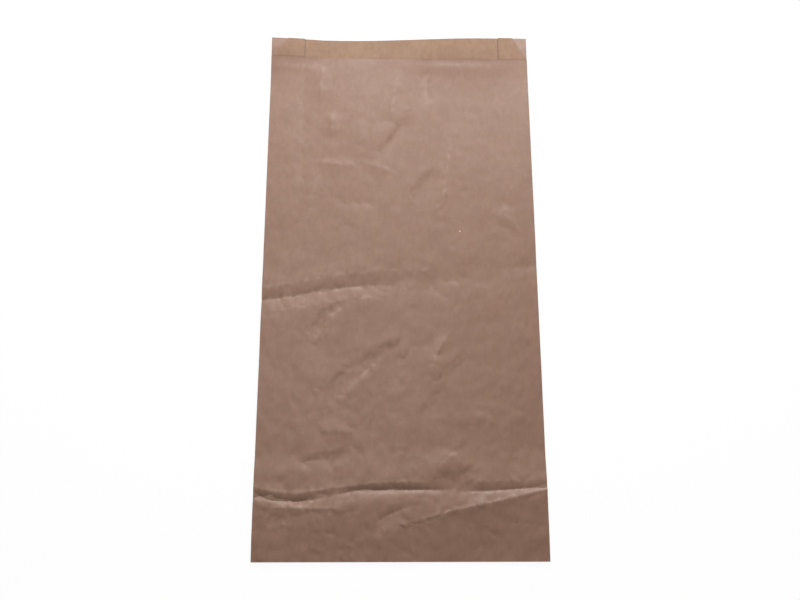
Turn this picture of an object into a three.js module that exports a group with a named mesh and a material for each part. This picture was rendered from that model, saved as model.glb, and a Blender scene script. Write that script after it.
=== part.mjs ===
// A brown kraft paper bag with side gussets and a pasted block base, folded flat and lying on its back.
// X runs across the bag, Y from the folded base to the open mouth, and Z up from the surface it lies on.
// The bag is one sheet of paper. It is built as a pile of plies over one plan grid: every fold line is a
// line of the grid, and at a fold the plies that it joins are filled through from one to the other.
import * as THREE from "three";

// Driving sizes, in millimetres
const bagWidth = 250; // between the two side folds
const bagLength = 500; // from the lower fold to the end of the back wall
const lip = 22; // how far the back wall stands past the front wall at the middle of the mouth
const lipSkew = 5; // the front wall's end runs this far off square between the side folds
const cornerCut = 15; // each front gusset is cut away over this width, in from its side fold
const gussetSlip = 2.3; // at the mouth the inner gusset folds have slipped this far to the right
const gussetDepth = 30; // how far each side is tucked in; the block base is twice as deep
const paper = 0.15; // thickness of the sheet
const plyGap = 0.35; // air between two plies that rest on each other
const foldWall = 0.3; // paper across a fold, seen in plan
const flapOverlap = 9; // each base flap runs this far past the middle of the base, and is pasted there
const seamEdge = -38; // edge of the pasted seam along the back wall, from the middle of the bag
const seamWidth = 15;

// How the paper stands, in millimetres
const sideClearance = 3.3; // front wall over back wall at the side folds, where the gusset springs open
const middleClearance = 2.1; // and in the middle of the bag
const sideReach = 55; // from the side fold to where the front wall lies low
const baseClearance = 2.6; // front wall over back wall on the folded base
const mouthClearance = 1.9; // at the mouth, where the gusset plies lie close again
const mouthCloseLength = 50; // they close up over this length
const lowerEdgeHeight = 2.2; // front wall at the lower fold
const lowerEdgeReach = 22;
const settleReach = 26; // the back wall comes down off the folded base over this length
const mouthLiftLength = 75; // the mouth's edge lifts off the table over this length
// How far the mouth's edge lifts: [share of the width from the left fold, height]
const mouthLift = [
  [0, 6.6],
  [0.1, 4.2],
  [0.22, 0.6],
  [0.37, 0.2],
  [0.5, 1.4],
  [0.62, 3.2],
  [0.76, 4.8],
  [0.9, 4],
  [1, 2.9],
];

// Creases across the front wall, in millimetres
const halfwayCrease = 244; // where the bag was once folded in half, from the lower fold
const halfwayDepth = 1.2; // on the left, where it is still deep
const halfwayShallow = 0.4; // and on the right
const halfwayAbove = 24; // reach of its slope towards the mouth
const halfwayBelow = 13; // and towards the base
const halfwaySkew = 0.13; // slope of that crease across the bag
const skewReach = 150;
const baseCreaseDepth = 2.2; // dip where the front wall drops off the folded base
const baseCreaseSideDepth = 1.6; // and at the side folds, where the gusset fills it
const baseCreaseWidth = 11;
const shoulderHeight = 1.1; // the front wall stands up on both sides of that dip
const shoulderReach = 30;
const rippleHeight = 0.35; // long soft waves along the bag
const rippleLength = 84;

// Steps of the plan grid, in millimetres
const coarseStep = 20;
const fineStep = 10;

const halfWidth = bagWidth / 2;
const frontLength = bagLength - lip;
const baseDepth = 2 * gussetDepth;
const pitch = paper + plyGap;
const { lerp, smoothstep, clamp } = THREE.MathUtils;

// The pile from the table up. Flaps and seam are pasted, so no air lies between them and the next ply.
const pile = [
  "outerFlap",
  "innerFlap",
  "sideFlap",
  "air",
  "sideTuck",
  "air",
  "backTuck",
  "air",
  "backTurn",
  "air",
  "seam",
  "back",
  "air",
  "backGusset",
  "air",
  "frontGusset",
  "air",
  "front",
];
const layerOf = (ply) => pile.indexOf(ply);

// Distance from the side fold to the 45 degree fold of the tucked corner, whose apex lies on the gusset
// crease. Past the base the same grid line marks the end of the slanting cut at the mouth.
function cornerFold(v) {
  const near = 2 * foldWall;
  const apex = gussetDepth - 3 * foldWall;
  const cutEnd = Math.min(cornerCut, apex) - foldWall;
  if (v > baseDepth) return lerp(near, cutEnd, smoothstep(v, baseDepth, baseDepth + gussetDepth));
  return lerp(near, apex, 1 - Math.abs(v - gussetDepth) / gussetDepth);
}

// Grid lines up to, but not on, the far end of a stretch.
function stretch(from, to, step, zone) {
  const count = Math.max(1, Math.round((to - from) / step));
  return Array.from({ length: count }, (_, i) => ({ at: lerp(from, to, i / count), zone }));
}

// Lines across the bag. Each names the strip that lies on its right.
const sideLines = [
  { from: () => 0, zone: "edge" },
  { from: () => foldWall, zone: "outer" },
  { from: cornerFold, zone: "diagonal" },
  { from: (v) => cornerFold(v) + foldWall, zone: "inner" },
  { from: () => gussetDepth - foldWall, zone: "crease" },
  { from: () => gussetDepth, zone: "centre" },
];
const innerHalf = halfWidth - gussetDepth;
const columns = [
  ...sideLines.slice(0, 5).map((s) => ({ x: (v) => s.from(v) - halfWidth, zone: s.zone })),
  ...[
    ...stretch(-innerHalf, seamEdge, coarseStep, "centre"),
    ...stretch(seamEdge, seamEdge + seamWidth, seamWidth, "seam"),
    ...stretch(seamEdge + seamWidth, innerHalf, coarseStep, "centre"),
  ].map((line) => ({ x: () => line.at, zone: line.zone })),
  ...sideLines.slice(1).reverse().map((s, i) => ({
    x: (v) => halfWidth - s.from(v),
    zone: sideLines[4 - i].zone,
  })),
  { x: () => halfWidth, zone: "end" },
];

// Lines along the bag, from the lower fold. Each names the band that lies above it.
const rows = [
  ...stretch(0, foldWall, foldWall, "baseFold"),
  ...stretch(foldWall, gussetDepth - flapOverlap, fineStep, "lower"),
  ...stretch(gussetDepth - flapOverlap, gussetDepth, fineStep, "lower"),
  ...stretch(gussetDepth, gussetDepth + foldWall, foldWall, "turnFold"),
  ...stretch(gussetDepth + foldWall, gussetDepth + flapOverlap, fineStep, "upper"),
  ...stretch(gussetDepth + flapOverlap, baseDepth - baseCreaseWidth, fineStep, "upper"),
  ...stretch(baseDepth - baseCreaseWidth, baseDepth - foldWall, fineStep, "upper"),
  ...stretch(baseDepth - foldWall, baseDepth, foldWall, "backFold"),
  ...stretch(baseDepth, baseDepth + baseCreaseWidth, fineStep, "tube"),
  ...stretch(baseDepth + baseCreaseWidth, baseDepth + shoulderReach, coarseStep, "tube"),
  ...stretch(baseDepth + shoulderReach, halfwayCrease - halfwayBelow, coarseStep, "tube"),
  ...stretch(halfwayCrease - halfwayBelow, halfwayCrease, fineStep, "tube"),
  ...stretch(halfwayCrease, halfwayCrease + halfwayAbove, fineStep, "tube"),
  ...stretch(halfwayCrease + halfwayAbove, frontLength, coarseStep, "tube"),
  ...stretch(frontLength, bagLength, lip / 2, "lip"),
  { at: bagLength, zone: "end" },
];

// Which layers of the pile are paper in the cell between two columns and two rows.
function filledLayers(across, along, v) {
  const filled = new Array(pile.length).fill(false);
  const ply = (name) => filled.fill(true, layerOf(name), layerOf(name) + 1);
  const fold = (low, high) => filled.fill(true, layerOf(low), layerOf(high) + 1);
  const gusset = !["centre", "seam"].includes(across);
  const tucked = ["edge", "outer", "diagonal"].includes(across);
  const belowTurn = v < gussetDepth;
  const inBase = v < baseDepth;

  if (along !== "lip") ply("front");
  if (along === "baseFold") fold(tucked ? "sideFlap" : "outerFlap", "front");
  if (inBase) {
    if (gusset) ply("sideFlap");
    if (!tucked && (gusset || v > gussetDepth - flapOverlap)) ply("innerFlap");
    if (!tucked && (gusset ? belowTurn : v < gussetDepth + flapOverlap)) ply("outerFlap");
    if (tucked) ply("sideTuck");
    if (across === "edge") fold("sideFlap", "sideTuck");
  }
  if (belowTurn) {
    if (tucked) ply("frontGusset");
    if (across === "diagonal") fold("sideTuck", "frontGusset");
  } else {
    ply("back");
    if (gusset) ply("backGusset");
    if (gusset && !(along === "lip" && across === "edge")) ply("frontGusset");
    if (across === "edge") fold("back", "backGusset");
    if (across === "crease") fold("backGusset", "frontGusset");
    if (across === "seam" && !inBase) ply("seam");
  }
  if (inBase && !belowTurn) {
    ply("backTurn");
    if (tucked) ply("backTuck");
    if (across === "edge") fold("backTuck", "backTurn");
    if (across === "diagonal") fold("sideTuck", "backTuck");
    if (along === "turnFold") fold(tucked ? "backTuck" : "backTurn", gusset ? "backGusset" : "back");
    if (along === "backFold") fold(tucked ? "sideFlap" : "innerFlap", "backTurn");
  }
  if (across === "edge" && along !== "lip") fold("frontGusset", "front");
  return filled;
}

// A dip with straight sloping sides, 1 deep at the line and 0 at its reach on each side.
const dip = (distance, below, above = below) =>
  Math.max(0, 1 - Math.abs(distance) / (distance < 0 ? below : above));

// Height of the mouth's edge over the table.
function mouthEdgeHeight(x) {
  const across = clamp(x / bagWidth + 0.5, 0, 1);
  const k = mouthLift.findIndex(([end], i) => i > 0 && across <= end);
  const [[from, low], [to, high]] = mouthLift.slice(k - 1, k + 1);
  return lerp(low, high, (across - from) / (to - from));
}

// Height of the middle of the back wall's paper: it rests on the folded base, then on the table, and
// lifts at the mouth.
function backHeight(x, v) {
  const onBase = 2.5 * paper + 4 * pitch;
  const onTable = 1.5 * paper;
  const lift = smoothstep(v, bagLength - mouthLiftLength, bagLength) ** 2;
  const settled = smoothstep(v, baseDepth, baseDepth + settleReach);
  return lerp(onBase, onTable, settled) + mouthEdgeHeight(x) * lift;
}

// Height of the middle of the front wall's paper.
function frontHeight(x, v) {
  const fromSide = halfWidth - Math.abs(x);
  const inward = smoothstep(fromSide, 0, sideReach);
  const tube = smoothstep(v, gussetDepth, baseDepth + settleReach);
  const mouth = smoothstep(v, frontLength - mouthCloseLength, frontLength);
  const side = lerp(sideClearance, mouthClearance, mouth);
  const clearance = lerp(baseClearance, lerp(side, middleClearance, inward), tube);
  const rise = lerp(smoothstep(v, 0, lowerEdgeReach), Math.min(1, v / baseDepth), 0.4);
  const halfway = lerp(halfwayDepth, halfwayShallow, smoothstep(x, -halfWidth / 4, halfWidth / 2));
  return (
    lerp(lowerEdgeHeight, backHeight(x, v) + clearance, rise) +
    inward * rippleHeight * Math.sin(2 * Math.PI * (x / rippleLength + v / bagLength)) * tube +
    shoulderHeight * dip(v - baseDepth, shoulderReach) -
    halfway * dip(v - halfwayCrease, halfwayBelow, halfwayAbove) -
    lerp(baseCreaseSideDepth, baseCreaseDepth, inward) * dip(v - baseDepth, baseCreaseWidth)
  );
}

// Height of the middle of any ply over a point of the plan.
function plyHeight(name, x, v) {
  const fromSide = halfWidth - Math.abs(x);
  const baseLevel = ["outerFlap", "innerFlap", "sideFlap"].indexOf(name);
  if (baseLevel >= 0) return (baseLevel + 0.5) * paper;
  const tuckLevel = ["sideFlap", "sideTuck", "backTuck", "backTurn"].indexOf(name);
  if (tuckLevel > 0) return 2.5 * paper + tuckLevel * pitch;
  const back = backHeight(x, v);
  const front = frontHeight(x, v);
  if (name === "back") return back;
  if (name === "seam") return back - paper;
  if (name === "front") return front;
  const inward = clamp(fromSide / gussetDepth, 0, 1);
  const mouth = smoothstep(v, frontLength - mouthCloseLength, bagLength);
  const spread = smoothstep(v, gussetDepth, baseDepth) * (1 - mouth);
  const crease = lerp(back + 1.5 * pitch, (back + front) / 2, spread);
  if (name === "backGusset") return lerp(back + pitch, crease - pitch / 2, inward);
  // Below the turn of the back wall the front gusset lies on the side tuck, in to the corner fold.
  const onTuck = 2.5 * paper + 2 * pitch;
  const inner = lerp(onTuck, crease + pitch / 2, clamp(v / gussetDepth, 0, 1));
  const reach = v < gussetDepth ? cornerFold(v) + foldWall : gussetDepth;
  return lerp(front - pitch, inner, clamp(fromSide / reach, 0, 1));
}

// A point of the bag: grid line i across, grid line j along, and the surface under layer s of the pile.
function cornerPoint(i, j, s) {
  const v = rows[j].at;
  const x = columns[i].x(v);
  const underPly = s < pile.length && pile[s] !== "air";
  const ply = underPly ? pile[s] : pile[s - 1];
  const z = plyHeight(ply, x, v) + (underPly ? -paper / 2 : paper / 2);
  const fromSide = halfWidth - Math.abs(x);
  const inLip = v > frontLength;
  const cut = inLip && ply === "frontGusset" ? clamp(fromSide / cornerCut, 0, 1) : 1;
  const along = inLip
    ? frontLength + (v - frontLength) * cut
    : v + halfwaySkew * x * smoothstep(dip(v - halfwayCrease, skewReach), 0, 1);
  const fromMouth = Math.min(1, (bagLength - along) / lip);
  const offSquare = smoothstep(along, frontLength - mouthCloseLength, frontLength) * fromMouth;
  const slip = dip(fromSide - gussetDepth, gussetDepth) * smoothstep(v, baseDepth, bagLength);
  return [x + gussetSlip * slip, along - lipSkew * (x / bagWidth) * offSquare - bagLength / 2, z];
}

// The skin of all filled cells. Of the surfaces that cross one upright grid line only those where paper
// starts or ends next to it are kept, so tall folds get no idle vertices.
function bagGeometry() {
  const nx = columns.length - 1;
  const ny = rows.length - 1;
  const layers = pile.length;
  const middleOf = (j) => (rows[j].at + rows[j + 1].at) / 2;
  const cells = columns
    .slice(0, nx)
    .map((c) => rows.slice(0, ny).map((r, j) => filledLayers(c.zone, r.zone, middleOf(j))));
  const isPaper = (i, j, s) => i >= 0 && j >= 0 && i < nx && j < ny && s >= 0 && s < layers && cells[i][j][s];

  const keptSurface = (i, j) => {
    const around = [[i - 1, j - 1], [i, j - 1], [i - 1, j], [i, j]];
    const kept = [];
    for (let s = 0; s <= layers; s++)
      if (around.some(([a, b]) => isPaper(a, b, s) !== isPaper(a, b, s - 1))) kept.push(s);
    return Array.from({ length: layers + 1 }, (_, s) => kept.filter((k) => k <= s).pop() ?? kept[0]);
  };
  const kept = columns.map((_, i) => rows.map((_, j) => keptSurface(i, j)));

  const positions = [];
  const indices = [];
  const known = new Map();
  const vertex = (i, j, s) => {
    const key = [i, j, kept[i][j][s]].join();
    if (!known.has(key)) {
      known.set(key, known.size);
      positions.push(...cornerPoint(i, j, kept[i][j][s]));
    }
    return known.get(key);
  };
  const triangle = (a, b, c) => {
    if (a !== b && b !== c && c !== a) indices.push(a, b, c);
  };
  const quad = (a, b, c, d, turned) => {
    if (turned) [b, d] = [d, b];
    triangle(a, b, c);
    triangle(a, c, d);
  };
  for (let i = 0; i <= nx; i++)
    for (let j = 0; j <= ny; j++)
      for (let s = 0; s <= layers; s++) {
        const here = isPaper(i, j, s);
        if (here !== isPaper(i, j, s - 1))
          quad(vertex(i, j, s), vertex(i + 1, j, s), vertex(i + 1, j + 1, s), vertex(i, j + 1, s), here);
        if (here !== isPaper(i - 1, j, s))
          quad(vertex(i, j, s), vertex(i, j + 1, s), vertex(i, j + 1, s + 1), vertex(i, j, s + 1), here);
        if (here !== isPaper(i, j - 1, s))
          quad(vertex(i, j, s), vertex(i, j, s + 1), vertex(i + 1, j, s + 1), vertex(i + 1, j, s), here);
      }
  const geometry = new THREE.BufferGeometry();
  geometry.setAttribute("position", new THREE.Float32BufferAttribute(positions, 3));
  geometry.setIndex(indices);
  geometry.computeVertexNormals();
  return geometry;
}

const kraft = new THREE.MeshStandardMaterial({ color: 0xa88a72, roughness: 0.85, metalness: 0 });
const bag = new THREE.Mesh(bagGeometry(), kraft);
bag.name = "paper_bag";

const root = new THREE.Group();
root.add(bag);
export default root;
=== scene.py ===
# %% [markdown]
# # A brown paper bag, folded flat
#
# A carry-out bag with side gussets and a block base, after it has been carried about: folded flat, lying
# on its back, with soft creases all over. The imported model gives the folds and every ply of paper. What
# is left for Blender is the skin of it: the creases that a used sheet keeps, the smooth outside and the
# rougher inside of kraft paper, and a white table.
#
# Everything is in metres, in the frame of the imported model: X across the bag, Y from the folded base to
# the mouth, Z up. Only the creases are written in millimetres, as a ruler would give them.

import bmesh
import bpy
import numpy as np
from mathutils import Euler, Matrix, Vector, noise
from mathutils.bvhtree import BVHTree


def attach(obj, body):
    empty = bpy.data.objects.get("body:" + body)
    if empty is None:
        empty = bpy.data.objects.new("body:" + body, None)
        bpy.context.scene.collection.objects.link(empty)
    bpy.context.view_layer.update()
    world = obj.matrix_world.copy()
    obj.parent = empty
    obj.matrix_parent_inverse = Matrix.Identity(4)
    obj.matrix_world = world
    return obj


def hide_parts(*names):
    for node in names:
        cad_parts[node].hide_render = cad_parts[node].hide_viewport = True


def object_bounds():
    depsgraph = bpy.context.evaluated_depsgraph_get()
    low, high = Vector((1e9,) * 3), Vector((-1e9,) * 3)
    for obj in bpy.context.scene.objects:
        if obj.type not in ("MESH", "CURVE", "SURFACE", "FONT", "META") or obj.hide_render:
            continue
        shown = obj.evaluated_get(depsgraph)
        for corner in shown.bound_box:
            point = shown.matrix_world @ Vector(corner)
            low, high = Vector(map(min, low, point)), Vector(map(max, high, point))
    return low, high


MM = 0.001

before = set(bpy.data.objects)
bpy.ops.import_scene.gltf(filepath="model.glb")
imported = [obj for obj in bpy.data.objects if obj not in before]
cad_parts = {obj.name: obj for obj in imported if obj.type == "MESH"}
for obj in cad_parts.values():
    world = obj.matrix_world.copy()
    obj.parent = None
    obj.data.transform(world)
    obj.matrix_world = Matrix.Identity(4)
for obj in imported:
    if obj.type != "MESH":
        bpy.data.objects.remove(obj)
cad_low, cad_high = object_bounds()
bag_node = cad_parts["paper_bag"]
print("bag box in mm:", [round(c / MM, 1) for c in (*cad_low, *cad_high)])

# %% [markdown]
# ## The camera
#
# The picture was taken from above and from a little in front of the folded base, so the bag narrows
# towards the mouth. A 45 mm lens on a full-frame sensor, 18 degrees off straight down, gives the same
# slant to both long sides. The place was found by lining up the four corners.

# %% Camera
FOCAL_LENGTH = 45
SENSOR_WIDTH = 36
CAMERA_PLACE = (-0.0005, -0.3002, 0.8627)
OFF_STRAIGHT_DOWN = np.radians(18.02)
TURNED = np.radians(-0.14)

camera_data = bpy.data.cameras.new("overhead")
camera_data.lens = FOCAL_LENGTH
camera_data.sensor_width = SENSOR_WIDTH
camera = bpy.data.objects.new("overhead", camera_data)
camera.location = CAMERA_PLACE
camera.rotation_euler = Euler((OFF_STRAIGHT_DOWN, 0, TURNED))
bpy.context.scene.collection.objects.link(camera)
bpy.context.scene.camera = camera
bpy.context.scene.view_settings.view_transform = "Standard"
print("camera", round(camera.location.length, 3), "m from the middle of the bag")

# %% [markdown]
# ## Shader sums as plain Python
#
# A material is a small calculation. Written as nodes by hand it is long, so this class wraps one output
# socket and turns Python's own signs into Math nodes. `1 - mask` and `0.2 * speckle` then read as they
# would on paper. Colours go through Mix nodes, because a Math node would turn them grey.


# %% A socket that can be added and multiplied
class Signal:
    """One output of a node, ready for arithmetic."""

    def __init__(self, tree, socket):
        self.tree = tree
        self.socket = socket

    def node(self, kind, settings=None, **values):
        """A new node. The value i0 goes to its first socket, and From_Min to the one called From Min."""
        made = self.tree.nodes.new(kind)
        for name, value in (settings or {}).items():
            setattr(made, name, value)
        for name, value in values.items():
            key = int(name[1:]) if name[1:].isdigit() else name.replace("_", " ")
            if isinstance(value, Signal):
                value.feeds(made.inputs[key])
            else:
                made.inputs[key].default_value = value
        return made

    def feeds(self, socket):
        self.tree.links.new(self.socket, socket)

    def maths(self, operation, first, second, clamp=False):
        settings = {"operation": operation, "use_clamp": clamp}
        made = self.node("ShaderNodeMath", settings, i0=first, i1=second)
        return Signal(self.tree, made.outputs[0])

    def __add__(self, other):
        return self.maths("ADD", self, other)

    def __radd__(self, other):
        return self.maths("ADD", other, self)

    def __sub__(self, other):
        return self.maths("SUBTRACT", self, other)

    def __rsub__(self, other):
        return self.maths("SUBTRACT", other, self)

    def __mul__(self, other):
        return self.maths("MULTIPLY", self, other)

    def __rmul__(self, other):
        return self.maths("MULTIPLY", other, self)

    def __pow__(self, other):
        return self.maths("POWER", self, other)

    def between(self, low, high):
        """0 below low, 1 above high, with a soft change between."""
        made = self.node(
            "ShaderNodeMapRange",
            {"interpolation_type": "SMOOTHSTEP"},
            Value=self,
            From_Min=low,
            From_Max=high,
        )
        return Signal(self.tree, made.outputs["Result"])

    def blend(self, colour_low, colour_high):
        """A colour that goes from one to the other as this signal goes from 0 to 1."""
        made = self.node(
            "ShaderNodeMix",
            {"data_type": "RGBA", "clamp_factor": True},
            i0=self,
            i6=colour_low,
            i7=colour_high,
        )
        return Signal(self.tree, made.outputs[2])

    def parts(self):
        """The X, Y and Z of a place."""
        made = self.node("ShaderNodeSeparateXYZ", Vector=self)
        return [Signal(self.tree, output) for output in made.outputs]


print("signals ready")

# %% [markdown]
# ## Colours
#
# A colour picker reads display values from 0 to 255, and a shader wants linear light. This helper turns
# one into the other.


# %% Display colour to linear colour
def picked(red, green, blue):
    channels = np.array([red, green, blue]) / 255
    linear = np.where(channels <= 0.04045, channels / 12.92, ((channels + 0.055) / 1.055) ** 2.4)
    return (*map(float, linear), 1.0)


RUBBED_KRAFT = picked(198, 168, 148)
# painted shade: the brown that darkens the inside of the mouth at the front wall's edge and the gusset
# folds
PAINTED_SHADE_BROWN = picked(92, 66, 50)
FLECK_WHITE = picked(240, 232, 222)
print("rubbed kraft is", [round(c, 3) for c in RUBBED_KRAFT])

# %% [markdown]
# ## Marks on the paper
#
# Some marks have a place of their own. Inside the mouth the paper is painted darker up to two millimetres
# beyond the edge of the front wall. This painted shade shows as a thin line across the mouth, where little
# light gets under the wall. Another thin line of painted shade runs along the inner fold of each gusset.
# On the front wall lies one pale fleck. Each is drawn as a distance: from the edge, which lies 22 mm short
# of the back wall's and 5 mm askew over the width, from the two folds, or from the middle of the fleck.
# The plies below the front wall are kept free of the fleck by their height.

# %% Dark lines and a pale fleck
FRONT_EDGE = cad_high.y - 22 * MM
EDGE_SKEW = 5 / 250
EDGE_SHADE_BAND = (0.3 * MM, 2.2 * MM)
GUSSET_FOLD = 95 * MM
GUSSET_SLIP = 2.3 * MM
FOLD_SHADE_BAND = (0.2 * MM, 0.8 * MM)
# how far the painted shade lines pull the paper towards that brown
PAINTED_SHADE_DEPTH = 0.34
FLECK = (55.8 * MM, 46.5 * MM)
FLECK_EDGE = (0.3 * MM, 0.8 * MM)
FLECK_HEIGHT = (1.3 * MM, 1.6 * MM)


def painted_shade_lines(x, y, z, paper):
    """Painted shade on the inside, at the edge of the front wall and along the gussets' inner folds."""
    beyond_edge = y + EDGE_SKEW * x - FRONT_EDGE
    off_middle = x - GUSSET_SLIP
    from_fold = (off_middle * off_middle) ** 0.5 - GUSSET_FOLD
    near, far = FOLD_SHADE_BAND
    # painted shade beside the front wall's edge, then painted shade along both gusset folds
    shade = PAINTED_SHADE_DEPTH * (1 - beyond_edge.between(*EDGE_SHADE_BAND))
    shade += PAINTED_SHADE_DEPTH * (1 - (from_fold * from_fold).between(near**2, far**2))
    return shade.blend(paper, PAINTED_SHADE_BROWN)


def pale_fleck(x, y, z, paper):
    """A light spot on the front wall."""
    across, along = x - FLECK[0], y - FLECK[1]
    off_centre = across * across + along * along
    near, far = FLECK_EDGE
    spot = (1 - off_centre.between(near**2, far**2)) * z.between(*FLECK_HEIGHT)
    return spot.blend(paper, FLECK_WHITE)


print("the front wall ends at", round(FRONT_EDGE / MM, 1), "mm")

# %% [markdown]
# ## Kraft paper
#
# Kraft is unbleached wood pulp. Three things make it read as paper and not as brown plastic: fine fibres
# that lie mostly along the bag, a cloudy look where the pulp lay thicker, and a surface that is nearly
# matt but catches a soft broad shine. The fibres are stretched noise, the clouds and flocks are noise of
# two sizes, and the shine is a middling roughness with a raised specular level. Where a crease has
# rubbed the sheet, the vertices carry a value called `worn` and the paper is paler.
#
# There are three papers. The outside is the smooth side of the sheet. The inside is rougher and warmer.
# The third is the outside again, a little paler, on the faces of the outside that look up inside the
# mouth.


# %% The paper material
def pattern(place, scale, stretch, detail, roughness=0.55):
    mapping = place.node("ShaderNodeMapping", Vector=place, Scale=stretch)
    made = place.node(
        "ShaderNodeTexNoise",
        Vector=Signal(place.tree, mapping.outputs[0]),
        Scale=scale,
        Detail=detail,
        Roughness=roughness,
    )
    return Signal(place.tree, made.outputs["Fac"])


def kraft(name, pale, dark, roughness, fibre_bump, fleck_or_painted_shade):
    material = bpy.data.materials.new(name)
    material.use_nodes = True
    tree = material.node_tree
    shader = tree.nodes["Principled BSDF"]
    place = Signal(tree, tree.nodes.new("ShaderNodeTexCoord").outputs["Object"])
    clouds = pattern(place, scale=34, stretch=(1, 1, 1), detail=3)
    flocks = pattern(place, scale=240, stretch=(1, 0.6, 1), detail=4, roughness=0.65)
    fibres = pattern(place, scale=900, stretch=(1, 0.12, 1), detail=3, roughness=0.7)
    cross_fibres = pattern(place, scale=900, stretch=(0.14, 1, 1), detail=2, roughness=0.7)
    pulp = 0.3 * clouds + 0.4 * flocks + 0.18 * fibres + 0.12 * cross_fibres
    worn = Signal(tree, place.node("ShaderNodeAttribute", {"attribute_name": "worn"}).outputs["Fac"])
    fresh = pulp.between(0.4, 0.6).blend(dark, pale)
    rubbed = (worn * flocks.between(0.3, 0.62) * 0.35).blend(fresh, RUBBED_KRAFT)
    # adds the pale fleck on the outside papers and the painted shade lines on the inside paper
    fleck_or_painted_shade(*place.parts(), rubbed).feeds(shader.inputs["Base Color"])
    (roughness + 0.16 * (1 - flocks)).feeds(shader.inputs["Roughness"])
    bump = place.node(
        "ShaderNodeBump",
        Height=0.6 * fibres + 0.4 * cross_fibres + 1.2 * flocks,
        Strength=fibre_bump,
        Distance=0.0001,
    )
    Signal(tree, bump.outputs[0]).feeds(shader.inputs["Normal"])
    shader.inputs["Specular IOR Level"].default_value = 0.8
    return material


outside = kraft("kraft_outside", picked(172, 131, 109), picked(164, 123, 101), 0.4, 0.3, pale_fleck)
# the inside paper carries the painted shade lines
inside = kraft("kraft_inside", picked(182, 143, 115), picked(172, 133, 104), 0.62, 0.6, painted_shade_lines)
# a paler copy of the outside paper, for the outside faces that look up inside the mouth
pale_mouth_outside = kraft("kraft_sheltered", picked(181, 142, 122), picked(173, 134, 113), 0.34, 0.3, pale_fleck)
print("papers:", outside.name, inside.name, pale_mouth_outside.name)

# %% [markdown]
# ## The bag's own mesh
#
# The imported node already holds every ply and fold, so the piece starts as a copy of it. The copy is
# loose triangles, and merging them first gives one skin. It also carries stored normals, which would
# shade the new creases as if they were flat, so they go.

# %% Copy and merge the folded sheet
plain_copy = bag_node.data.copy()
for stored in ("custom_normal", "sharp_edge", "sharp_face"):
    if stored in plain_copy.attributes:
        plain_copy.attributes.remove(plain_copy.attributes[stored])
shape = bmesh.new()
shape.from_mesh(plain_copy)
bpy.data.meshes.remove(plain_copy)
bmesh.ops.remove_doubles(shape, verts=shape.verts, dist=1e-6)
shape.normal_update()
plies = BVHTree.FromBMesh(shape)
print("folded sheet:", len(shape.verts), "vertices,", len(shape.faces), "faces")

# %% [markdown]
# ## Inside and outside
#
# One sheet has two faces, and a gusset shows both: at each corner of the mouth a pale triangle of the
# outside lies beside the warmer inside. A ray through the pile counts the surfaces of paper above or
# below a face. Every ply turns the other way up from the one before it, so of each four surfaces that
# follow one another, two look in and two look out.

# %% Count surfaces of paper
SKIP = 0.02 * MM
UP = Vector((0, 0, 1))


def front_edge(x):
    """Where the front wall ends, over a point across the bag."""
    return FRONT_EDGE - EDGE_SKEW * x


def surfaces(point, direction):
    """How many surfaces a ray from a point goes through."""
    count, start = 0, point + SKIP * direction
    while True:
        hit = plies.ray_cast(start, direction)[0]
        if hit is None:
            return count
        count, start = count + 1, hit + SKIP * direction


middle = Vector((0, 0, -MM))
print("surfaces in the middle of the bag:", surfaces(middle, UP))

# %% Mark the faces that look into the bag
SIDE_FOLD = 0.3 * MM
FLAT = 0.5
OUTSIDE, INSIDE, PALE_MOUTH_OUTSIDE = 0, 1, 2

for face in shape.faces:
    centre = face.calc_center_median()
    if abs(face.normal.z) < FLAT or cad_high.x - abs(centre.x) < SIDE_FOLD:
        continue
    in_mouth = centre.y > front_edge(centre.x) and face.normal.z > 0
    if in_mouth:
        looks_in = surfaces(centre, -UP) % 4 == 1
    else:
        looks_in = surfaces(centre, UP) % 4 in (1, 2)
    face.material_index = INSIDE if looks_in else PALE_MOUTH_OUTSIDE if in_mouth else OUTSIDE
print("inside faces:", sum(face.material_index == INSIDE for face in shape.faces))

# %% [markdown]
# ## The cut corners of the mouth
#
# At each corner the front half of the gusset is cut away on a slant. The cut end of a real bag lies down
# on the half behind it, so the two leaves are brought together there. The end is found by counting once
# more: four surfaces lie below its underside and five below its upper side. The counted faces don't
# reach the tip of an end, so its points are found as the far ends of edges that climb steeply towards
# the mouth.

# %% Find the cut ends
CORNER = 15.5 * MM
UNDERSIDE, UPPER_SIDE = 4, 5
SIDEWAYS = 0.1 * MM
BACK = 0.1 * MM
CLIMB = 0.5 * MM


def climbs(vertex, edge):
    """Whether an edge leads steeply up and towards the mouth."""
    step = edge.other_vert(vertex).co - vertex.co
    return abs(step.x) < SIDEWAYS and step.y > BACK and step.z > CLIMB


cut_ends = {}
for face in shape.faces:
    centre = face.calc_center_median()
    at_corner = centre.y > front_edge(centre.x) and cad_high.x - abs(centre.x) < CORNER
    below = surfaces(centre, -UP) if at_corner and abs(face.normal.z) > FLAT else 0
    if below in (UNDERSIDE, UPPER_SIDE):
        for vertex in face.verts:
            cut_ends[vertex] = max(cut_ends.get(vertex, 0), below)

for side in (-1, 1):
    tips = set()
    for vertex in cut_ends:
        if side * vertex.co.x > 0:
            tips.update(edge.other_vert(vertex) for edge in vertex.link_edges if climbs(vertex, edge))
    missed = sorted(tips - set(cut_ends), key=lambda tip: tip.co.z)
    cut_ends.update(zip(missed, (UNDERSIDE, UPPER_SIDE)))
print("vertices of the cut ends:", len(cut_ends))

# %% Lay the cut ends down
LEAF_GAP = 0.75 * MM
GAP_CLOSES = 0.25 * MM
PAPER = 0.15 * MM


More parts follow.
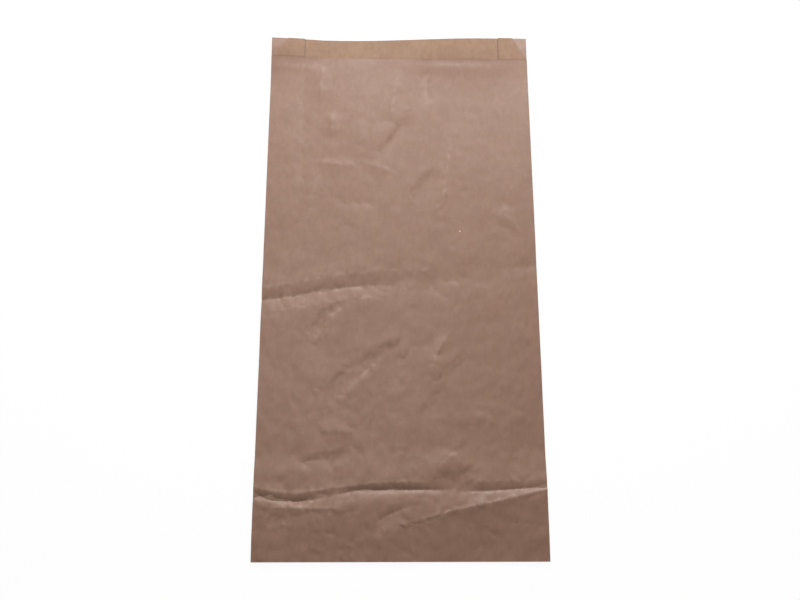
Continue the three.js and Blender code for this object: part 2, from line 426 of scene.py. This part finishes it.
def leaf_behind(point):
    """Height of the half of the gusset under a point. Three more surfaces lie below it."""
    hit = plies.ray_cast(point, -UP)[0]
    while hit is not None and surfaces(hit, -UP) != 3:
        hit = plies.ray_cast(hit - SKIP * UP, -UP)[0]
    return None if hit is None else hit.z


lowered = 0
for vertex, below in cut_ends.items():
    inward = Vector((-1 if vertex.co.x > 0 else 1, -1, 0)) * 0.05 * MM
    height = leaf_behind(vertex.co + inward - SKIP * UP)
    gap = LEAF_GAP - GAP_CLOSES * (cad_high.x - abs(vertex.co.x)) / CORNER
    thickness = PAPER if below == UPPER_SIDE else 0
    if height is not None and vertex.co.z > height + gap + thickness:
        vertex.co.z = height + gap + thickness
        lowered += 1
plies = BVHTree.FromBMesh(shape)
print("vertices laid down at the corners:", lowered)

# %% [markdown]
# ## Creases
#
# A crease in paper is a line with flanks that die away. Each one here is a path over the front wall with
# a height and a reach: a ridge stands up and a valley, with a height below zero, goes down. The two long
# groups are the folds of the pack, once in half and once at the folded base. A painted height map would
# be the other way to do it, but a short list of paths can be read and corrected one crease at a time.

# %% The list of creases, in millimetres
CREASES = [
    # Path, height, reach. The fold across the middle, and the short ones that branch off it
    ([(-128, -21), (-98, -16), (-71, -11), (-42, -7), (-15, -6), (8, -8)], -1.2, 4),
    ([(-128, -9), (-98, -4), (-71, 2), (-42, 6), (-5, 9)], 0.9, 9),
    ([(-128, -33), (-98, -28), (-70, -23), (-42, -18), (-10, -18)], 0.7, 10),
    ([(18, 1), (33, 21)], 0.45, 4),
    ([(18, 1), (4, 13)], 0.4, 3),
    ([(18, 1), (50, -25)], -0.5, 5),
    ([(34, -3), (55, -3)], -0.4, 3),
    ([(90, 9), (127, 12)], -0.4, 3),
    # The fold at the base
    ([(-128, -194), (-117, -196), (-102, -199), (-88, -200.5), (-75, -199), (-61, -196)], -2.2, 2.2),
    ([(-128, -188), (-102, -193), (-88, -194), (-61, -189.5), (-15, -184), (42, -185)], 1.0, 4),
    ([(40, -185), (129, -182)], 0.6, 4),
    ([(-61, -196), (-39, -191), (-15, -190.5), (25, -190.6), (44, -191)], -2.2, 2.2),
    ([(46, -192), (76, -191.6), (102, -190), (129, -188)], -1.3, 2),
    # On the folded base
    ([(-117, -204), (-106, -205.4), (-61, -206.4), (-51, -207), (-38, -210)], 1.0, 4),
    ([(131, -189), (110, -194), (80, -201), (45, -208), (20, -215), (-5, -221), (-14, -229)], 1.7, 6),
    ([(12, -203), (-11, -212), (-24, -221)], -1.3, 4),
    ([(-85, -212), (-70, -215.5), (-59, -226)], 0.4, 4),
    ([(-59, -209), (-66, -219)], 0.4, 3),
    # Between the two folds
    ([(45, -49), (33, -69), (27, -90)], 1.0, 5),
    ([(-72, -139), (-43, -139)], 0.8, 6),
    ([(-56, -173), (-41, -161)], 0.5, 4),
    ([(-4, -158), (17, -163), (32, -168), (45, -161), (54, -144)], 0.8, 6),
    ([(57, -180), (78, -187)], 0.6, 4),
    # The half towards the mouth
    ([(-76, 225), (-75, 181)], 0.9, 6),
    ([(-65, 170), (-64, 143)], 0.9, 5),
    ([(0, 216), (-9, 161)], 0.9, 6),
    ([(26, 227), (26, 177)], -0.8, 6),
    ([(52, 156), (45, 110), (37, 57)], 0.8, 5),
    ([(-83, 119), (-37, 112)], 0.5, 4),
    ([(-35, 118), (-4, 106)], 0.4, 4),
    ([(-73, 81), (-14, 73)], -0.5, 5),
    ([(-55, 56), (-37, 46)], -0.4, 4),
    ([(-78, 104), (-86, 53)], 0.5, 4),
    ([(86, 67), (99, 61), (112, 52)], 0.25, 3),
    ([(99, 75), (97, 50)], 0.4, 3),
    # The pasted seam of the back and the inner fold of a gusset, which show through the front wall
    ([(-36.5, 230), (-36.5, -188)], 0.12, 2),
    ([(-94, 230), (-92, 60)], -0.4, 5),
]
print(len(CREASES), "creases, the deepest", min(height for path, height, reach in CREASES), "mm")

# %% [markdown]
# ## Steps
#
# Many marks on the bag are not lines but the borders of facets: the paper is tilted a little more on one
# side than on the other. A path with one side raised and the other lowered gives that soft border. The
# raised side is the one on the left when the path is followed, and a height below zero swaps them.

# %% The list of steps, in millimetres
STEPS = [
    # Path, height, reach. Below the fold across the middle
    ([(-78, -62), (-63, -36), (-43, -19)], -1.6, 7),
    ([(-86, -52), (-70, -32), (-54, -20)], 1.2, 6),
    ([(-55, -111), (-31, -88), (-14, -72)], -1.2, 7),
    ([(-35, -80), (-13, -63), (5, -56)], 1.5, 9),
    ([(-75, -105), (-62, -94), (-42, -82)], 1.4, 9),
    ([(32, -97), (42, -84), (59, -73)], 1.2, 8),
    ([(0, -75), (13, -65)], 0.48, 6),
    # Above the fold at the base
    ([(-89, -169), (-66, -161), (-41, -155)], 1.4, 9),
    ([(31, -179), (53, -175), (70, -172)], 1.8, 9),
    # The half towards the mouth, the end of the middle fold and the mouth itself
    ([(-23, 124), (-8, 145), (10, 175)], 1.4, 9),
    ([(10, 78), (20, 98), (34, 114)], 1.3, 9),
    ([(-11, -9), (9, -9)], 0.48, 3),
    ([(10, 222), (58, 221), (104, 219)], -0.4, 9),
    ([(-124, 222), (-70, 220)], -0.35, 8),
    # On the folded base
    ([(64, -249), (68, -237), (78, -224)], 0.8, 6),
    ([(-49, -249), (-40, -232), (-33, -220)], 0.64, 6),
    ([(-70, -240), (-60, -228), (-57, -216)], 0.64, 6),
    ([(6, -249), (14, -236), (20, -226)], 0.64, 6),
    ([(-100, -225), (-72, -222)], 0.48, 5),
    # Small ones between the two folds
    ([(-20, -100), (-2, -92)], 0.48, 6),
    ([(20, -122), (30, -112), (34, -104)], 0.64, 6),
    ([(-80, -128), (-62, -118)], 0.56, 6),
    ([(60, -135), (78, -128)], 0.48, 6),
    ([(-30, -130), (-12, -126)], 0.48, 6),
]
print(len(STEPS), "steps")

# %% [markdown]
# ## From lists to heights
#
# For any point, each path gives a distance, how far along it the nearest place lies, and the side. The
# height falls off as an exponential of the distance. A strong crease gets a sharp tip and a low one a
# rounder tip. A path fades in and out at its two ends, but not where it runs over the side of the bag.


# %% Distance to a path
def from_path(path, x, y):
    """Distance of each point to a path, how far along it lies from 0 to 1, and on which side."""
    points = np.array(path, float)
    lengths = np.linalg.norm(np.diff(points, axis=0), axis=1)
    starts = np.concatenate([[0], np.cumsum(lengths)])
    nearest = np.full_like(x, 1e9)
    share = np.zeros_like(x)
    side = np.ones_like(x)
    for a, b, length, start in zip(points[:-1], points[1:], lengths, starts):
        t = np.clip(((x - a[0]) * (b[0] - a[0]) + (y - a[1]) * (b[1] - a[1])) / length**2, 0, 1)
        away = np.hypot(x - a[0] - t * (b[0] - a[0]), y - a[1] - t * (b[1] - a[1]))
        closer = away < nearest
        nearest = np.where(closer, away, nearest)
        share = np.where(closer, (start + t * length) / starts[-1], share)
        left_of = (b[0] - a[0]) * (y - a[1]) - (b[1] - a[1]) * (x - a[0])
        side = np.where(closer, np.sign(left_of), side)
    return nearest, share, side


sample = from_path([(0, 0), (10, 0)], np.array([5.0]), np.array([3.0]))
print("a point 3 mm to the left, halfway:", [float(part[0]) for part in sample])

# %% Shape across a path
STRONG = 0.9
SHARP_TIP, SOFT_TIP = 0.4, 1.6
STEP_WIDTH = 5


def ridge(away, side, tall, reach):
    """The same on both sides of the path."""
    tip = SHARP_TIP if abs(tall) > STRONG else SOFT_TIP
    soft = np.sqrt(away**2 + tip**2) - tip
    return np.exp(-soft / reach)


def step(away, side, tall, reach):
    """Up on one side of the path and down on the other."""
    return side * np.tanh(away / STEP_WIDTH) * np.exp(-away / reach)


print("2 mm from a strong ridge:", round(float(ridge(2, 1, 1, 4)), 2), "of its height")

# %% Sum of all paths
FADE = 0.3
SIDE_OF_BAG = cad_high.x / MM
RUB_REACH = 1.2
FAINT = 0.2
LOW_COUNTS_FURTHER, FAINT_COUNTS_FURTHER = 1.4, 4


def fading(path, share):
    """0 at the ends of a path and 1 between, or 1 up to an end beyond the side of the bag."""
    ramp_in = 1 if abs(path[0][0]) > SIDE_OF_BAG else np.clip(share / FADE, 0, 1)
    ramp_out = 1 if abs(path[-1][0]) > SIDE_OF_BAG else np.clip((1 - share) / FADE, 0, 1)
    return ramp_in * ramp_out


def further(tall):
    """Millimetres by which a low line seems further away, because it can do with a coarser mesh."""
    if abs(tall) > STRONG:
        return 0
    return LOW_COUNTS_FURTHER if abs(tall) > FAINT else FAINT_COUNTS_FURTHER


def crease_field(x, y):
    """What the creases add to the height, how rubbed the paper is, and the distance to the nearest one."""
    height = np.zeros_like(x)
    rubbed = np.zeros_like(x)
    closest = np.full_like(x, 1e9)
    for paths, profile in ((CREASES, ridge), (STEPS, step)):
        for path, tall, reach in paths:
            away, share, side = from_path(path, x, y)
            ramp = fading(path, share)
            height += tall * profile(away, side, tall, reach) * ramp
            rubbed = np.maximum(rubbed, np.exp(-away / RUB_REACH) * ramp * min(1, abs(tall)))
            closest = np.minimum(closest, away + further(tall))
    return height, rubbed, closest


at_base_fold = crease_field(np.array([0.0]), np.array([-190.5]))
print("the fold at the base changes the height by", round(float(at_base_fold[0][0]), 2), "mm")

# %% [markdown]
# ## Finer skin
#
# Creases need vertices to bend at. The triangles of the fold pattern are long and thin, so only edges
# over a limit are split, again and again, until the sheet is fine enough: coarse where nothing shows,
# finer on the front wall, and finest beside a crease.

# %% Split long edges
ROUNDS = 9
PLAIN_LIMIT = 12 * MM


def split_long(wanted):
    for _ in range(ROUNDS):
        edges = list(shape.edges)
        ends = np.array([(*e.verts[0].co, *e.verts[1].co) for e in edges])
        lengths = np.linalg.norm(ends[:, 3:] - ends[:, :3], axis=1)
        chosen = [edges[k] for k in wanted((ends[:, :3] + ends[:, 3:]) / 2, lengths)]
        if not chosen:
            return
        bmesh.ops.subdivide_edges(shape, edges=chosen, cuts=1, use_grid_fill=False)
        bmesh.ops.triangulate(shape, faces=[f for f in shape.faces if len(f.verts) > 3])


def over_limit(middles, lengths):
    return np.nonzero(lengths > PLAIN_LIMIT)[0]


split_long(over_limit)
print("sheet without long edges:", len(shape.faces), "faces")

# %% Split the front wall again where it is creased
NEAR_TOP = 0.4 * MM
ABOVE_BAG = 0.05
COARSENS = 0.5
FINEST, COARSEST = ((1.3, 6))


def too_long_to_bend(middles, lengths):
    """Edges of the front wall that are long for their distance to a crease."""
    long_enough = np.nonzero(lengths > FINEST * MM)[0]
    away = crease_field(middles[long_enough, 0] / MM, middles[long_enough, 1] / MM)[2]
    allowed = np.clip(FINEST + COARSENS * away, FINEST, COARSEST) * MM
    candidates = long_enough[lengths[long_enough] > allowed]
    kept = []
    for k in candidates:
        middle = Vector(middles[k])
        top = plies.ray_cast(Vector((middle.x, middle.y, ABOVE_BAG)), -UP)[0]
        if top is not None and top.z - middle.z < NEAR_TOP:
            kept.append(k)
    return kept


split_long(too_long_to_bend)
print("finer sheet:", len(shape.faces), "faces")

# %% [markdown]
# ## Cockle
#
# Between the creases a used sheet is never flat: it is broken into slightly tilted facets. The distance
# to the nearest cell border of a Voronoi pattern makes such facets, in two sizes, and smooth noise
# carries them. The cells are bent a little, because straight borders would look like cut glass.

# %% Facets and waves
FACET = (30, 38)
WAVE = (70, 95)
SMALLER = 2.7
WOBBLE = 2.1


def cockle(x, y):
    """Height of the facets and waves at a point, all in millimetres."""
    place = Vector((x / FACET[0], y / FACET[1], 0.5))
    bend = Vector((noise.noise(place * WOBBLE), noise.noise(place * WOBBLE + Vector((7, 3, 1))), 0))
    near, far = noise.voronoi(place + 0.35 * bend)[0][:2]
    small_near, small_far = noise.voronoi(place * SMALLER + 0.3 * bend)[0][:2]
    return (
        0.35 * noise.noise(Vector((x / WAVE[0], y / WAVE[1], 3)))
        + 0.3 * min(far - near, 0.5)
        + 0.28 * min(small_far - small_near, 0.4)
        - 0.18
    )


print("cockle near the middle of the bag:", round(cockle(10, 20), 3), "mm")

# %% [markdown]
# ## Bend the sheet
#
# All plies move together, or the front wall would dip through the gusset under it. Each vertex moves by
# the crease height times its own share of the pile's height there, so what lies on the table stays on
# the table, and the plies keep their order. No crease presses the pile down by more than about half.
#
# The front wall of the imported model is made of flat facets, and light would show their borders. The mean
# height over a ring of points rounds them off. The cockle is strongest at the folded base and weakest
# at the mouth. What lies beyond the front wall's edge gets no creases and less cockle.

# %% Height of the pile
RING = 6
RING_POINTS = 8
OWN_WEIGHT = 2


def top_of_pile(x, y):
    hit = plies.ray_cast(Vector((x, y, 50)) * MM, -UP)[0]
    return None if hit is None else hit.z / MM


def softened(x, y, own, edge):
    """Mean height of the front wall around a point."""
    total = OWN_WEIGHT * own
    for turn in range(RING_POINTS):
        angle = turn * 2 * np.pi / RING_POINTS
        near = top_of_pile(x + float(RING * np.cos(angle)), min(y + float(RING * np.sin(angle)), edge))
        total += own if near is None else near
    return total / (OWN_WEIGHT + RING_POINTS)


print("front wall near the middle:", round(top_of_pile(10, 20), 2), "mm high")

# %% Move every vertex
INSIDE_EDGE = 0.6
INSIDE_SIDE = 0.9995
HIGHEST_SHARE = 1.15
SHARE_POWER = 1.2
LIP_FADE = 4
LIP_CALM = 0.6
COCKLE_AT_MIDDLE = 2.6
COCKLE_FALLS = 110
MOST_PRESSED = 0.5

places = np.array([v.co for v in shape.verts]) / MM
crease_height, crease_rub, _ = crease_field(places[:, 0], places[:, 1])
worn = shape.verts.layers.float.new("worn")
for vertex, (x, y, z), crease, rub in zip(shape.verts, places, crease_height, crease_rub):
    edge = front_edge(x * MM) / MM - INSIDE_EDGE
    top_height = top_of_pile(INSIDE_SIDE * x, min(y, edge)) or max(z, 1)
    share = min(HIGHEST_SHARE, max(0, z / top_height)) ** SHARE_POWER
    in_lip = max(0, min(1, (y - edge) / LIP_FADE))
    facets = cockle(x, y) * (COCKLE_AT_MIDDLE - y / COCKLE_FALLS) * (1 - LIP_CALM * in_lip)
    lift = crease * (1 - in_lip) + facets
    if y < edge:
        lift += softened(x, y, top_height, edge) - top_height
    vertex.co.z = (z + max(lift, -MOST_PRESSED * top_height) * share) * MM
    vertex[worn] = float(rub)
print("creased sheet stands", round(max(v.co.z for v in shape.verts) / MM, 1), "mm tall")

# %% [markdown]
# ## One piece with three papers
#
# The bag is one sheet, so it is one object. It rides on the part's only body and stands in for the
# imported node. Smooth shading would smear the light round the folds, so edges over 50 degrees stay sharp.

# %% Make it a piece
SHARP_FOLD = np.radians(50)

skin = bpy.data.meshes.new("kraft_bag")
shape.to_mesh(skin)
shape.free()
skin.materials.append(outside)
skin.materials.append(inside)
skin.materials.append(pale_mouth_outside)
skin.shade_smooth()
skin.set_sharp_from_angle(angle=SHARP_FOLD)
bag = bpy.data.objects.new("kraft_bag", skin)
bpy.context.scene.collection.objects.link(bag)
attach(bag, "root")
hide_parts("paper_bag")
print("the bag has", len(skin.polygons), "faces")

# %% [markdown]
# ## Table
#
# The picture has no background at all: the table is burnt out to white and not even a shadow is left.
# A floor can do both jobs. To the camera it glows white, and to the light that falls on the bag it is a
# plain pale board that bounces a little back. The glow also shows in mirrored rays, so that the sheen on
# the low edges of the paper isn't cut off by a dull floor. A share of the board stays in the mix, and
# glow and board together come out as white.

# %% Floor
FLOOR_REACH = 6
FLOOR_GAP = 0.0002

floor_shape = bmesh.new()
bmesh.ops.create_grid(floor_shape, x_segments=1, y_segments=1, size=FLOOR_REACH)
floor_mesh = bpy.data.meshes.new("table_top")
floor_shape.to_mesh(floor_mesh)
floor_shape.free()
floor_mesh.transform(Matrix.Translation((0, 0, cad_low.z - FLOOR_GAP)))
floor = bpy.data.objects.new("table_top", floor_mesh)
bpy.context.scene.collection.objects.link(floor)
print("table at", round(floor_mesh.vertices[0].co.z / MM, 2), "mm")

# %% Paint that glows to the camera
GLOW = 1.09
GLOW_SHARE = 0.85

table_paint = bpy.data.materials.new("table_white")
table_paint.use_nodes = True
table_tree = table_paint.node_tree
board = table_tree.nodes["Principled BSDF"]
board.inputs["Base Color"].default_value = (0.8, 0.8, 0.8, 1)
board.inputs["Roughness"].default_value = 0.9
board.inputs["Specular IOR Level"].default_value = 0.0
rays = table_tree.nodes.new("ShaderNodeLightPath")
seen = Signal(table_tree, rays.outputs["Is Camera Ray"])
glossy = Signal(table_tree, rays.outputs["Is Glossy Ray"])
mirrored = glossy + Signal(table_tree, rays.outputs["Is Transmission Ray"])
glow = table_tree.nodes.new("ShaderNodeEmission")
glow.inputs["Strength"].default_value = GLOW
either = table_tree.nodes.new("ShaderNodeMixShader")
shown = seen.maths("ADD", seen, mirrored, clamp=True) * GLOW_SHARE
shown.feeds(either.inputs[0])
Signal(table_tree, board.outputs[0]).feeds(either.inputs[1])
Signal(table_tree, glow.outputs[0]).feeds(either.inputs[2])
Signal(table_tree, either.outputs[0]).feeds(table_tree.nodes["Material Output"].inputs["Surface"])
floor_mesh.materials.append(table_paint)
print("table paint:", table_paint.name)

# %% [markdown]
# ## Light
#
# The creases are bright on the side that faces the mouth and dark on the other, so the main light is a
# broad one beyond the mouth, fairly high. A small weak one overhead adds a little sheen near the middle.
# A dim even world fills the rest. To the camera alone the world is white, so that a low view has no grey
# horizon.


# %% Softboxes
def softbox(name, place, aim, size, watts):
    data = bpy.data.lights.new(name, "AREA")
    data.shape = "RECTANGLE"
    data.size, data.size_y = size
    data.energy = watts
    lamp = bpy.data.objects.new(name, data)
    lamp.location = place
    lamp.rotation_euler = (Vector(aim) - Vector(place)).to_track_quat("-Z", "Y").to_euler()
    bpy.context.scene.collection.objects.link(lamp)
    return lamp


softbox("main_softbox", place=(0.1, 0.9, 0.64), aim=(0, 0, 0), size=(0.9, 0.5), watts=8.9)
softbox("overhead_softbox", place=(-0.12, 0.1, 0.6), aim=(-0.03, 0, 0), size=(0.3, 0.3), watts=0.45)

# %% World
FILL = 0.25

world = bpy.data.worlds.new("studio")
world.use_nodes = True
background = world.node_tree.nodes["Background"]
background.inputs["Color"].default_value = (1, 1, 1, 1)
world_rays = world.node_tree.nodes.new("ShaderNodeLightPath")
to_camera = Signal(world.node_tree, world_rays.outputs["Is Camera Ray"])
sky = FILL + (1 - FILL) * to_camera
sky.feeds(background.inputs["Strength"])
bpy.context.scene.world = world
print("world fills with", FILL)
